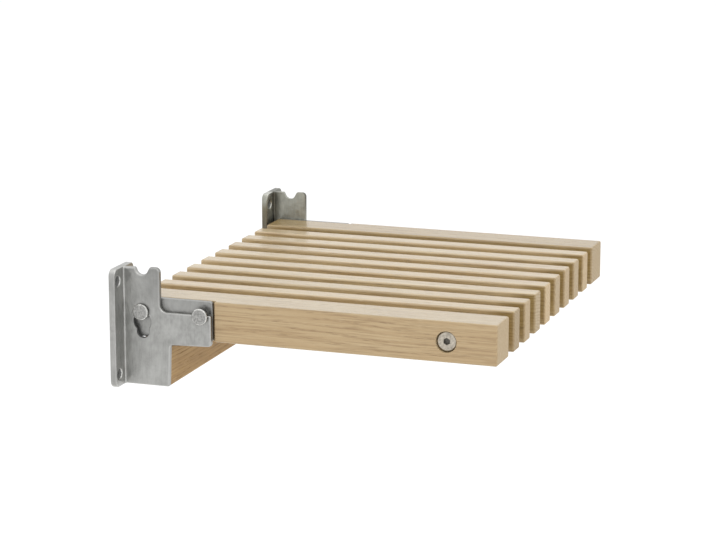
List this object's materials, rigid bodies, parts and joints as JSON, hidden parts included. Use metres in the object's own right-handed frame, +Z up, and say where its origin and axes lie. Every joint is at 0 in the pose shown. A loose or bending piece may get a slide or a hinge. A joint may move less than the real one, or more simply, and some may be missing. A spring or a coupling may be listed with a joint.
{
  "type": "wall-mounted folding seat",
  "caption": "Slatted oak seat that swings up flat against the wall on stainless T-section brackets with a keyhole slot, a lock notch and an arm, tied by a cross beam.",
  "frame": {"origin": "on the wall plane, at the centre of the outer wall screw pattern, midway between the two brackets", "axes": "+X along the wall to the right bracket, -Y out from the wall towards the seat's front edge, +Z up"},
  "size_m": [0.452, 0.3835, 0.1185],
  "materials": {
    "oak": "pale oak, planed and oiled, matt",
    "steel_satin": "cast stainless steel, tumbled satin",
    "steel_hardware": "turned stainless steel, satin"
  },
  "bodies": {
    "wall_frame": {"left_bracket": "steel_satin", "right_bracket": "steel_satin", "cross_beam": "oak", "left_beam_studs": "steel_hardware", "right_beam_studs": "steel_hardware"},
    "rear_pins": {"left_rear_pin": "steel_satin", "right_rear_pin": "steel_satin", "rear_pin_nuts": "steel_hardware"},
    "seat": {"left_rail": "oak", "right_rail": "oak", "slat_1": "oak", "slat_2": "oak", "slat_3": "oak", "slat_4": "oak", "slat_5": "oak", "slat_6": "oak", "slat_7": "oak", "slat_8": "oak", "left_arm_plate": "steel_satin", "right_arm_plate": "steel_satin", "left_arm_screws": "steel_hardware", "right_arm_screws": "steel_hardware", "left_front_pin": "steel_satin", "right_front_pin": "steel_satin", "front_pin_nuts": "steel_hardware", "front_rod": "steel_hardware", "rear_rod": "steel_hardware", "left_front_bolt": "steel_hardware", "right_front_bolt": "steel_hardware", "left_rear_bolt": "steel_hardware", "right_rear_bolt": "steel_hardware", "front_spacers": "steel_hardware", "rear_spacers": "steel_hardware"}
  },
  "joints": [
    {"name": "pin_drop", "type": "slide", "parent": "wall_frame", "child": "rear_pins", "axis": [0, -0.052, -0.9986], "range_m": [0, 0.01]},
    {"name": "seat_fold", "type": "hinge", "parent": "rear_pins", "child": "seat", "pos_m": [0, -0.025, 0.015], "axis": [-1, 0, 0], "range_deg": [0, 90]}
  ],
  "couplings": [
    {"joint": "pin_drop", "follows": "seat_fold", "m_per_rad": 0.006303}
  ]
}
